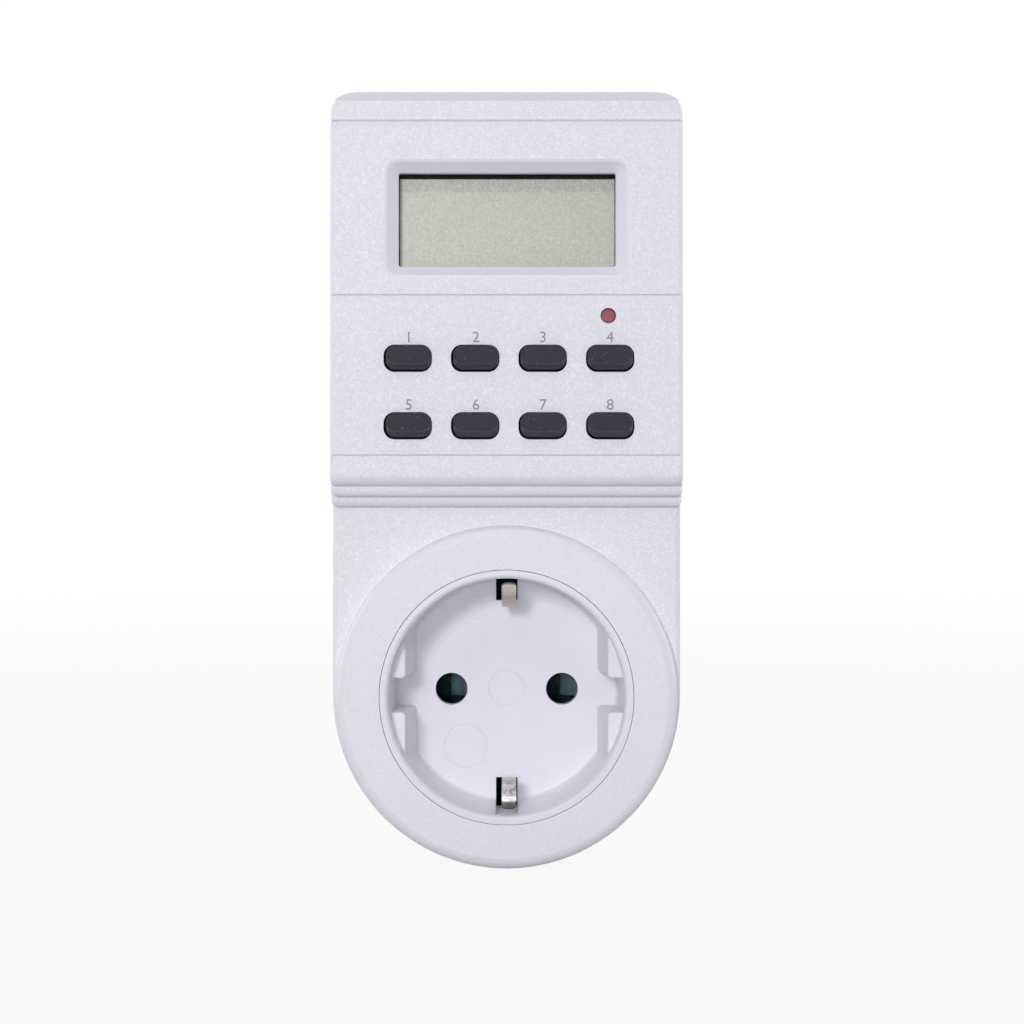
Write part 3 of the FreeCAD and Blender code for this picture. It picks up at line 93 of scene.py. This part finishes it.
class Nodes:
    """The nodes of a material or of the world."""

    def __init__(self, tree, output):
        self.tree = tree
        self.surface = tree.nodes[output].inputs["Surface"]

    def node(self, kind, settings=None, sockets=None, output=0):
        """Adds a node: its settings first, then a number, colour or wire for each named socket."""
        made = self.tree.nodes.new(kind)
        for name, setting in (settings or {}).items():
            setattr(made, name, setting)
        for name, given in (sockets or {}).items():
            if isinstance(given, Wire):
                self.tree.links.new(given.socket, made.inputs[name])
            else:
                made.inputs[name].default_value = given
        return Wire(self, made.outputs[output])

    def math(self, operation, *terms):
        return self.node("ShaderNodeMath", {"operation": operation}, dict(enumerate(terms)))

    def size(self, wire):
        """A value without its sign."""
        return self.math("ABSOLUTE", wire)

    def axis(self, vector, index):
        """One part of a vector: 0 for X, 1 for Y, 2 for Z."""
        return self.node("ShaderNodeSeparateXYZ", None, {0: vector}, index)

    def ramp(self, wire, start, end):
        """0 up to the start value, 1 from the end on, smooth between. Start may be above end."""
        sockets = {"Value": wire, "From Min": start, "From Max": end}
        return self.node("ShaderNodeMapRange", {"interpolation_type": "SMOOTHSTEP"}, sockets)

    def mix(self, share, first, second):
        """Colours mixed: the first at share 0, the second at 1."""
        sockets = {0: share, 6: first, 7: second}
        return self.node("ShaderNodeMix", {"data_type": "RGBA"}, sockets, 2)

    def cover(self, share, first, second):
        """Shaders or backgrounds mixed, and sent to the output."""
        joined = self.node("ShaderNodeMixShader", None, {0: share, 1: first, 2: second})
        self.tree.links.new(joined.socket, self.surface)

    def largest(self, first, *others):
        for other in others:
            first = self.math("MAXIMUM", first, other)
        return first

    def looked_at(self):
        """1 for what is seen straight, in gloss or through glass; 0 for light on things."""
        kinds = ("Is Camera Ray", "Is Glossy Ray", "Is Transmission Ray")
        return self.largest(*[self.node("ShaderNodeLightPath", output=kind) for kind in kinds])


class Finish(Nodes):
    """A material on one Principled shader."""

    def __init__(self, name, **constants):
        self.material = bpy.data.materials.new(name)
        self.material.use_nodes = True
        super().__init__(self.material.node_tree, "Material Output")
        self.shader = self.tree.nodes["Principled BSDF"]
        for name, number in constants.items():
            socket = name.replace("_", " ").title().replace("Ior", "IOR")
            self.shader.inputs[socket].default_value = number
        place = self.node("ShaderNodeTexCoord", output="Object")
        to_mm = {0: place, "Scale": 1 / MM}
        self.place = self.node("ShaderNodeVectorMath", {"operation": "SCALE"}, to_mm)
        self.x, self.y, self.z = [self.axis(self.place, i) for i in range(3)]

    def noise(self, scale, detail=3.0, rough=0.6, vector=None):
        """Fine random variation, with scale in waves per millimetre."""
        sockets = {"Vector": vector or self.place, "Scale": scale}
        sockets.update({"Detail": detail, "Roughness": rough})
        return self.node("ShaderNodeTexNoise", None, sockets)

    def strokes(self, scale, width, rarity):
        """Short curled lines, scattered: 1 on a line, 0 beside it."""
        line = self.ramp(self.size(self.noise(scale, 1.0, 0.4) - 0.5), width, width * 0.3)
        return line * self.ramp(self.noise(scale * 0.9, 1.0, 0.4), rarity, rarity + 0.1)

    def curls(self, fine, coarse):
        """Two sorts of strokes together."""
        return self.largest(self.strokes(*fine), self.strokes(*coarse))

    def facing(self, index):
        """How far the surface faces along an axis, from -1 to 1."""
        geometry = self.node("ShaderNodeNewGeometry", output="Normal")
        return self.axis(geometry, index)

    def reach(self, x, z):
        """Distance in millimetres from an axis that runs front to back."""
        aside, above = self.x - x, self.z - z
        return self.math("SQRT", aside * aside + above * above)

    def flat_reach(self):
        """Distance in millimetres from the upright axis, as on a floor."""
        return self.math("SQRT", self.x * self.x + self.y * self.y)

    def bump(self, height, distance, strength=1.0):
        """Relief whose height is in millimetres times the distance."""
        sockets = {"Height": height, "Distance": distance * MM, "Strength": strength}
        self.feed("Normal", self.node("ShaderNodeBump", None, sockets))

    def feed(self, name, wire):
        self.tree.links.new(wire.socket, self.shader.inputs[name])


def grey(level):
    return (level, level, level, 1.0)


def scaled(colour, factor, lift=0.0):
    """A colour made darker or paler, with its alpha kept at 1."""
    return tuple(min(1.0, part * factor + lift) for part in colour[:3]) + (1.0,)


def srgb(red, green, blue):
    """Linear colour of an sRGB one given from 0 to 255."""
    parts = [part / 255 for part in (red, green, blue)]
    linear = [c / 12.92 if c <= 0.04045 else ((c + 0.055) / 1.055) ** 2.4 for c in parts]
    return tuple(linear) + (1.0,)


def housing_finish():
    """White ABS with a fine spark-eroded texture; slopes and roundings are left smooth."""
    finish = Finish("housing_plastic", roughness=0.42, ior=1.5)
    squareness = finish.largest(*[finish.size(finish.facing(i)) for i in (1, 0, 2)])
    # The front of the boss is worn smoother
    boss_radius, boss_front = 28.0, -41.0
    boss = finish.ramp(finish.reach(0.0, 0.0), boss_radius + 0.6, boss_radius)
    boss = boss * finish.ramp(finish.y, boss_front + 1.0, boss_front)
    textured = finish.ramp(squareness, 0.935, 0.955) * (1.0 - 0.3 * boss)
    grain = finish.noise(6.0, 3.0, 0.65)
    curls = finish.curls((2.4, 0.06, 0.45), (1.9, 0.05, 0.48))
    sparks = finish.ramp(finish.noise(3.6, 1.0, 0.5), 0.68, 0.75)
    bright = finish.largest(curls * 0.62, sparks) * textured
    pits = finish.ramp(grain, 0.5, 0.34) * textured * 0.3
    cloud = finish.noise(0.05, 2.0)
    smooth = finish.mix(cloud, srgb(229, 228, 239), srgb(232, 231, 242))
    rough = finish.mix(cloud, srgb(224, 223, 234), srgb(228, 227, 238))
    rough = finish.mix(bright, rough, srgb(247, 247, 252))
    rough = finish.mix(pits, rough, srgb(208, 206, 219))
    finish.feed("Base Color", finish.mix(textured, smooth, rough))
    finish.feed("Roughness", 0.36 + 0.16 * textured - 0.16 * bright)
    finish.bump((grain + bright * 0.4) * textured, 0.03, 0.8)
    return finish.material


def insert_finish():
    """The smoother, glossier white of the socket cup, with the faint rings that its mould left."""
    finish = Finish("insert_plastic", roughness=0.38, ior=1.5)
    # Each ring: centre x and z, radius, width, depth
    rings = [(0.0, 0.0, 3.05, 0.2, 0.6), (-7.0, -10.0, 3.7, 0.2, 0.6), (-5.5, 14.0, 2.1, 0.2, 0.35),
             (-5.5, 14.0, 1.4, 0.2, 0.25), (7.5, -12.5, 3.1, 0.2, 0.3)]
    relief = finish.noise(2.4, 3.0, 0.6) * 0.12
    for x, z, radius, width, depth in rings:
        away = finish.size(finish.reach(x, z) - radius)
        relief = relief - finish.ramp(away, width, 0.0) * depth
    recess_floor = finish.ramp(finish.y, -43.0, -42.0)
    # Painted light: the cup's walls are made paler than its floor
    painted_wall_light = finish.ramp(finish.size(finish.facing(1)), 0.6, 0.3)
    base = finish.mix(finish.noise(0.25, 4.0, 0.7), srgb(222, 220, 231), srgb(228, 227, 237))
    finish.feed("Base Color", finish.mix(painted_wall_light, base, srgb(242, 241, 249)))
    finish.feed("Roughness", 0.35 + 0.08 * finish.noise(0.9, 3.0))
    finish.bump(relief * recess_floor, 0.12, 0.5)
    return finish.material


def window_finish():
    """Clear flat window: it lets light straight through and only its gloss shows."""
    finish = Finish("clear_window", roughness=0.05)
    clear = finish.node("ShaderNodeBsdfTransparent", None, {"Color": (0.97, 0.98, 0.97, 1.0)})
    gloss = finish.node("ShaderNodeBsdfGlossy", None, {"Roughness": 0.04})
    edge = finish.node("ShaderNodeFresnel", None, {"IOR": 1.3})
    dust = finish.ramp(finish.noise(1.6, 2.0), 0.74, 0.8) * 0.02
    finish.cover(edge * 0.6 + dust, clear, gloss)
    finish.tree.nodes.remove(finish.shader)
    return finish.material


def lcd_finish():
    """Unlit display glass: greenish grey film, with a painted shadow band along its top edge."""
    finish = Finish("lcd_glass", roughness=0.32, ior=1.45)
    low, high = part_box("lcd_panel")
    middle = (low[2] + high[2]) / 2 / MM
    # Painted shadow: a darker band along the top edge, where the window's frame shades the glass
    painted_shadow_band = finish.ramp(finish.z, middle + 4.9, middle + 5.05)
    mottle = finish.noise(3.2, 4.0, 0.75)
    curls = finish.curls((2.4, 0.06, 0.36), (1.8, 0.05, 0.4))
    film = finish.mix(finish.ramp(mottle, 0.35, 0.65), srgb(186, 184, 178), srgb(195, 193, 186))
    film = finish.mix(painted_shadow_band, film, srgb(175, 173, 167))
    finish.feed("Base Color", finish.mix(curls * 0.55, film, srgb(222, 220, 214)))
    finish.feed("Roughness", 0.3 + 0.12 * finish.noise(2.5, 2.0))
    finish.bump(mottle, 0.01, 0.4)
    return finish.material


def dark_finish(name, colour, roughness, speck=0.6, painted_sheen=None, gloss_ior=1.4):
    """Dark moulded plastic or rubber with a fine matt grain and a few light specks of dust."""
    finish = Finish(name, roughness=roughness, ior=gloss_ior)
    grain = finish.noise(4.0, 4.0, 0.6)
    dust = finish.ramp(finish.noise(2.8, 1.0), 0.75, 0.8)
    base = finish.mix(finish.noise(0.35, 3.0), colour, scaled(colour, 1.35, 0.004))
    if painted_sheen:
        # Painted sheen: a pale line where the edges turn downwards, and a paler lower side
        upward = finish.facing(2)
        edge = finish.ramp(upward, -0.12, -0.3) * finish.ramp(upward, -0.75, -0.5)
        base = finish.mix(finish.ramp(upward, -0.6, -0.8) * 0.5, base, painted_sheen)
        base = finish.mix(edge, base, painted_sheen)
    finish.feed("Base Color", finish.mix(dust * speck, base, srgb(178, 178, 184)))
    finish.feed("Roughness", roughness + 0.15 * grain)
    finish.bump(grain, 0.02, 0.7)
    return finish.material


def reset_finish():
    """Faded red plastic with a darker ring at its rim."""
    finish = Finish("red_plastic", roughness=0.45, ior=1.45)
    low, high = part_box("reset_button")
    x, z = [(low[i] + high[i]) / 2 / MM for i in (0, 2)]
    rim = finish.ramp(finish.reach(x, z), 0.8, 1.1)
    cloud = finish.noise(1.5, 3.0)
    face = finish.mix(cloud, srgb(136, 56, 64), srgb(148, 66, 73))
    finish.feed("Base Color", finish.mix(rim, face, srgb(108, 36, 44)))
    finish.feed("Roughness", 0.4 + 0.15 * cloud)
    finish.bump(finish.noise(4.0, 3.0) - 0.6 * rim, 0.03, 0.6)
    return finish.material


def metal_finish(name, colour, roughness, lines=1.0, wear_and_painted_light=None):
    """Plated metal with fine drawing lines and small stains. The last argument gives masks of wear,
    of painted shade and of painted highlights.
    """
    finish = Finish(name, metallic=1.0, roughness=roughness)
    stain = finish.noise(0.5, 4.0, 0.65)
    stretched = finish.node("ShaderNodeVectorMath", {"operation": "MULTIPLY"},
                            {0: finish.place, 1: (6.0, 0.6, 0.6)})
    drawn = finish.noise(2.0, 3.0, 0.6, stretched)
    base = finish.mix(finish.ramp(stain, 0.35, 0.65), scaled(colour, 0.86), colour)
    rough = roughness + 0.1 * stain + 0.05 * drawn
    dents = stain * 0.4
    if wear_and_painted_light:
        darkening, bright, dented = wear_and_painted_light(finish)
        # Painted highlights in pale patches, and darker patches: dull wear on the pins, painted
        # shade on the lower earth contact
        base = finish.mix(bright, base, (0.97, 0.96, 0.94, 1.0))
        base = finish.mix(darkening, base, srgb(44, 40, 38))
        rough = rough + 0.3 * darkening
        dents = dents + dented * finish.noise(1.1, 2.0)
        finish.feed("Metallic", 1.0 - darkening)
    finish.feed("Base Color", base)
    finish.feed("Roughness", rough)
    finish.bump(drawn * lines + dents, 0.008, 0.6)
    return finish.material


def inside_the_case(finish):
    """Wear of the pins: dark and matt where they stay inside, and scratched by soldering."""
    inner = finish.ramp(finish.y, -2.0, -4.0)
    return 0.92 * inner, 0.0, 3.0 * inner


def lower_tip(finish):
    """Painted light on the lower earth contact: bright, uneven painted highlights, and painted
    shade at its tip and left edge.
    """
    lower = finish.ramp(finish.z, -10.0, -13.0) * finish.ramp(finish.y, -38.0, -40.0)
    # Painted shade at the tip and along the left edge, and painted highlights in patches
    tip = finish.ramp(finish.z + 0.6 * finish.noise(0.8), -16.9, -17.5)
    left = finish.ramp(finish.x + 0.8 * finish.noise(0.7), -0.9, -1.4)
    painted_highlights = finish.ramp(finish.noise(0.8, 2.0), 0.4, 0.5) * finish.ramp(finish.z, -14.7, -15.2)
    return 0.9 * finish.largest(tip, left) * lower, painted_highlights * lower, 45.0 * lower


def board_finish():
    """Green solder mask, a little paler over its tracks, and the bare edge of the board."""
    finish = Finish("circuit_board", roughness=0.5, ior=1.5, specular_ior_level=0.12)
    flat = finish.node("ShaderNodeCombineXYZ", None, {0: finish.x, 1: finish.z})
    layout = {"offset": 0.35, "squash": 0.7, "squash_frequency": 3}
    widths = {"Vector": flat, "Scale": 0.12, "Mortar Size": 0.05, "Mortar Smooth": 0.4}
    tracks = finish.node("ShaderNodeTexBrick", layout, widths, "Fac")
    mask = finish.mix(finish.noise(0.4, 3.0), srgb(10, 46, 50), srgb(16, 56, 60))
    edge_on = finish.ramp(finish.size(finish.facing(1)), 0.6, 0.4)
    colour = finish.mix(tracks, mask, srgb(22, 66, 68))
    finish.feed("Base Color", finish.mix(edge_on, colour, srgb(150, 146, 100)))
    finish.feed("Roughness", 0.45 + 0.15 * finish.noise(1.0) + 0.2 * edge_on)
    finish.bump(tracks + 0.2 * finish.noise(2.5), 0.035, 0.6)
    return finish.material


def case_finish(name, colour, roughness=0.3):
    """Glossy component case with faint flow marks."""
    finish = Finish(name, roughness=roughness, ior=1.5)
    flow = finish.noise(0.3, 4.0, 0.6)
    finish.feed("Base Color", finish.mix(flow, scaled(colour, 0.8), colour))
    finish.feed("Roughness", roughness + 0.12 * flow)
    finish.bump(finish.noise(3.0, 3.0), 0.015, 0.5)
    return finish.material


def can_finish(name, colour, node):
    """A shrink sleeve round a can, whose bare aluminium end shows from the front."""
    finish = Finish(name, roughness=0.32)
    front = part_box(node)[0][1] / MM
    end = finish.ramp(finish.y, front + 0.9, front + 0.7)
    flow = finish.noise(0.4, 3.0)
    sleeve = finish.mix(flow, colour, scaled(colour, 1.3, 0.01))
    finish.feed("Base Color", finish.mix(end, sleeve, srgb(200, 200, 204)))
    finish.feed("Metallic", end)
    finish.feed("Roughness", 0.28 + 0.1 * flow)
    finish.bump(flow, 0.05, 0.4)
    return finish.material


def leaded_finish(name, colour, middle_z, body_reach, bands):
    """Small leaded parts: coloured body with bands, bare tinned leads beyond it."""
    finish = Finish(name, roughness=0.35)
    along = finish.z - middle_z
    lead = finish.ramp(finish.size(along), body_reach, body_reach + 0.1)
    base = finish.mix(finish.noise(1.2), scaled(colour, 0.85), colour)
    for centre, band_colour in bands:
        here = finish.ramp(finish.size(along - centre), 0.42, 0.36)
        base = finish.mix(here, base, band_colour)
    finish.feed("Base Color", finish.mix(lead, base, srgb(196, 194, 188)))
    finish.feed("Metallic", lead)
    finish.feed("Roughness", 0.32 + 0.12 * finish.noise(1.5))
    finish.bump(finish.noise(1.5), 0.03, 0.5)
    return finish.material


def striped_finish(name, first, second, per_mm):
    """Elastomer strips or ribbon cable: fine upright stripes, so many to the millimetre."""
    finish = Finish(name, roughness=0.5, ior=1.45)
    wave = finish.math("SINE", finish.x * (per_mm * 2 * math.pi))
    stripe = finish.ramp(wave, -0.3, 0.3)
    finish.feed("Base Color", finish.mix(stripe, first, second))
    finish.feed("Roughness", 0.45 + 0.1 * finish.noise(1.5))
    finish.bump(wave, 0.05, 0.5)
    return finish.material


def ink_finish():
    """Grey-lilac pad-printed ink, a little uneven."""
    finish = Finish("printed_ink", roughness=0.55, ior=1.45)
    uneven = finish.noise(5.0, 3.0, 0.6)
    finish.feed("Base Color", finish.mix(uneven, srgb(128, 126, 144), srgb(152, 150, 166)))
    finish.feed("Roughness", 0.5 + 0.15 * uneven)
    finish.bump(uneven, 0.01, 0.5)
    return finish.material


def stage_finish(name, level):
    """Pale matt backdrop that the camera sees as white, darkened only by the object's shadow."""
    finish = Finish(name, roughness=0.9, specular_ior_level=0.0)
    finish.feed("Base Color", finish.mix(finish.noise(0.004), grey(level), grey(level * 0.98)))
    glow = finish.node("ShaderNodeEmission", None, {"Strength": 1.0})
    # The shadow is let through near the object, and fades out far from it
    share = 0.92 + 0.08 * finish.ramp(finish.flat_reach(), 150.0, 1400.0)
    finish.cover(finish.looked_at() * share, Wire(finish, finish.shader.outputs[0]), glow)
    return finish.material


def add(name, data):
    """A new object in the scene."""
    made = bpy.data.objects.new(name, data)
    bpy.context.collection.objects.link(made)
    return made


# Camera: the photograph's straight view along +Y
UPRIGHT = (math.radians(90), 0, 0)
eye = bpy.data.cameras.new("camera")
eye.sensor_width = 36.0
eye.lens = 75.3
eye.clip_start, eye.clip_end = 0.01, 20.0
camera = add("camera", eye)
camera.location = (0.0009, -0.4095, 0.0304)
camera.rotation_euler = UPRIGHT
bpy.context.scene.camera = camera
bpy.context.scene.view_settings.view_transform = "Standard"

# Finishes on the CAD nodes
housing = housing_finish()
black = dark_finish("black_plastic", srgb(11, 11, 14), 0.7, speck=0.0, gloss_ior=1.2)
# Key rubber with a painted sheen on the keys' lower sides
silicone = dark_finish("key_rubber", srgb(27, 26, 37), 0.6, painted_sheen=srgb(70, 69, 78))
carbon = dark_finish("carbon_pill", srgb(32, 32, 34), 0.6, speck=0.0)
epoxy = dark_finish("black_epoxy", srgb(24, 24, 26), 0.25, speck=0.1)
board = board_finish()
pins = metal_finish("nickel_pins", (0.66, 0.62, 0.57, 1.0), 0.26, 0.4, inside_the_case)
earthing = metal_finish("nickel_strap", (0.62, 0.565, 0.485, 1.0), 0.26, 0.4, lower_tip)
clip_metal = metal_finish("clip_bronze", (0.40, 0.50, 0.53, 1.0), 0.3, 4.0)
steel = metal_finish("steel", (0.60, 0.60, 0.62, 1.0), 0.24)
blue_case = case_finish("blue_case", srgb(40, 84, 150))
yellow_case = case_finish("yellow_case", srgb(214, 176, 62))
cans = can_finish("can_sleeve", srgb(44, 44, 70), "smoothing_capacitors")
battery = can_finish("battery_sleeve", srgb(40, 120, 66), "backup_battery")
# The bands of diodes and resistors: height above the middle, colour
cathode = [(1.7, srgb(200, 200, 204))]
brown, dark, red, gold = srgb(120, 70, 36), srgb(28, 28, 28), srgb(196, 60, 44), srgb(190, 150, 60)
value_code = [(-2.0, brown), (-0.8, dark), (0.4, red), (2.0, gold)]
diodes = leaded_finish("diode_body", srgb(28, 28, 30), 63.2, 2.5, cathode)
resistors = leaded_finish("resistor_body", srgb(196, 176, 136), 63.5, 3.2, value_code)
# One stripe to each of the cable's cores, and the fine layers of the zebra strips
cable = striped_finish("cable_grey", srgb(120, 120, 124), srgb(176, 176, 180), 0.79)
zebra = striped_finish("zebra_rubber", srgb(40, 40, 42), srgb(200, 190, 200), 3.0)
FINISHES = {
    "front_cover": housing,
    "rear_cover": housing,
    "socket_insert": insert_finish(),
    "display_window": window_finish(),
    "lcd_panel": lcd_finish(),
    "lcd_holder": black,
    "reset_button": reset_finish(),
    "reset_switch_case": black,
    "reset_switch_plunger": black,
    "keypad_mat": silicone,
    "controller_blob": epoxy,
    "clock_crystal": steel,
    "control_board": board,
    "power_board": board,
    "control_board_screws": steel,
    "power_board_screws": steel,
    "housing_screws": steel,
    "relay": blue_case,
    "varistor": blue_case,
    "suppression_capacitor": yellow_case,
    "dropper_capacitor": yellow_case,
    "smoothing_capacitors": cans,
    "backup_battery": battery,
    "rectifier_diodes": diodes,
    "resistors": resistors,
    "ribbon_cable": cable,
    "zebra_strips": zebra,
    "live_pin": pins,
    "neutral_pin": pins,
    "live_clip": clip_metal,
    "neutral_clip": clip_metal,
    "earth_strap": earthing,
}
# Row by row, from the left
KEYS = ["week_key", "hour_key", "minute_key", "recall_key",
        "clock_key", "timer_key", "mode_key", "random_key"]
for key in KEYS:
    FINISHES[key] = silicone
    FINISHES[key + "_pill"] = carbon
for node, material in FINISHES.items():
    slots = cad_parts[node].data.materials
    slots.clear()
    slots.append(material)


# The key mat. Its collars fold under the keys, so each is cut out as a piece of its own round its
# own key.
MAT_THICK = 1.2 * MM
ROOM_ROUND_KEY = (5.3 * MM, 4.2 * MM)  # reaches past one key's collar, and short of the next one's
sheet_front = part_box("keypad_mat")[1][1] - MAT_THICK
cut = sheet_front - 0.01 * MM  # just clear of the sheet, so that its own front stays whole


def mat_piece(name, key=None):
    """The sheet of the key mat, or the collar that stands on it under one key."""
    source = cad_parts["keypad_mat"]
    mesh = source.data.copy()
    mesh.name = name
    mesh.transform(source.matrix_world)
    solid = bmesh.new()
    solid.from_mesh(mesh)
    bmesh.ops.remove_doubles(solid, verts=solid.verts, dist=0.001 * MM)
    everything = solid.verts[:] + solid.edges[:] + solid.faces[:]
    bmesh.ops.bisect_plane(solid, geom=everything, plane_co=(0, cut, 0), plane_no=(0, 1, 0),
                           clear_inner=key is None, clear_outer=key is not None)
    if key:
        low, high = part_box(key)
        x, z = [(low[i] + high[i]) / 2 for i in (0, 2)]
        wide, tall = ROOM_ROUND_KEY
        others = [v for v in solid.verts if abs(v.co.x - x) > wide or abs(v.co.z - z) > tall]
        bmesh.ops.delete(solid, geom=others, context="VERTS")
    open_edges = [edge for edge in solid.edges if edge.is_boundary]
    bmesh.ops.triangle_fill(solid, use_beauty=True, edges=open_edges)
    bmesh.ops.recalc_face_normals(solid, faces=solid.faces)
    for face in solid.faces:
        face.smooth = False
    solid.to_mesh(mesh)
    solid.free()
    piece = add(name, mesh)
    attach(piece, "housing")
    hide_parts("keypad_mat")
    return piece


mat_piece("mat_sheet")
for key in sorted(KEYS):
    collar = mat_piece(key + "_collar", key)
    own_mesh(collar)

# Plain numerals above the keys
NUMERAL_TALL = 2.5 * MM
INK_THICK = 0.01 * MM
ink = ink_finish()
panel_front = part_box("front_cover")[0][1]
for number, key in enumerate(KEYS, 1):
    low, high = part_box(key)
    text = bpy.data.curves.new("numeral_%d" % number, "FONT")
    text.body = str(number)
    text.align_x = "CENTER"
    text.size = NUMERAL_TALL
    text.extrude = INK_THICK
    text.resolution_u = 4
    text.materials.append(ink)
    label = add("numeral_%d" % number, text)
    x, z = [(low[i] + high[i]) / 2 for i in (0, 2)]
    label.location = (x, panel_front - INK_THICK, z + 2.5 * MM)
    label.rotation_euler = UPRIGHT
    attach(label, "housing")

# Floor
FLOOR_REACH = 6.0
corners = [(x * FLOOR_REACH, y * FLOOR_REACH, 0) for x, y in ((-1, -1), (1, -1), (1, 1), (-1, 1))]
floor_mesh = bpy.data.meshes.new("floor")
floor_mesh.from_pydata(corners, [], [(0, 1, 2, 3)])
floor_mesh.materials.append(stage_finish("pale_floor", 0.5))
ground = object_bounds()[0][2]
floor = add("floor", floor_mesh)
floor.location = (0, 0, ground)

# Lamps, all turned to the middle of the object: place, watts, side
AIM = Vector((0.0, -0.05, 0.035))
LAMPS = {
    "key_light": ((-0.2, -1.1, 0.24), 4.2, 0.16),
    "front_light": ((-0.02, -1.15, 0.0), 2.55, 0.2),
    "top_light": ((0.0, -0.75, 0.85), 1.95, 0.6),
    "left_light": ((-1.1, 0.15, 0.3), 3.6, 0.7),
    "right_light": ((1.1, 0.15, 0.3), 3.6, 0.7),
    "back_left_light": ((-0.55, 1.0, 0.6), 5.6, 0.7),
    "back_right_light": ((0.55, 1.0, 0.6), 5.6, 0.7),
}
for name, (place, watts, side) in LAMPS.items():
    light = bpy.data.lights.new(name, "AREA")
    light.energy = watts
    light.shape = "SQUARE"
    light.size = side
    lamp = add(name, light)
    lamp.location = place
    lamp.rotation_euler = (AIM - Vector(place)).to_track_quat("-Z", "Y").to_euler()
    lamp.visible_camera = False

# Background: white to look at, and a low even light on the object
world = bpy.data.worlds.new("studio")
world.use_nodes = True
bpy.context.scene.world = world
sky = Nodes(world.node_tree, "World Output")
soft = sky.node("ShaderNodeBackground", None, {"Color": grey(0.18)})
white = sky.node("ShaderNodeBackground", None, {"Color": WHITE})
sky.cover(sky.looked_at(), soft, white)
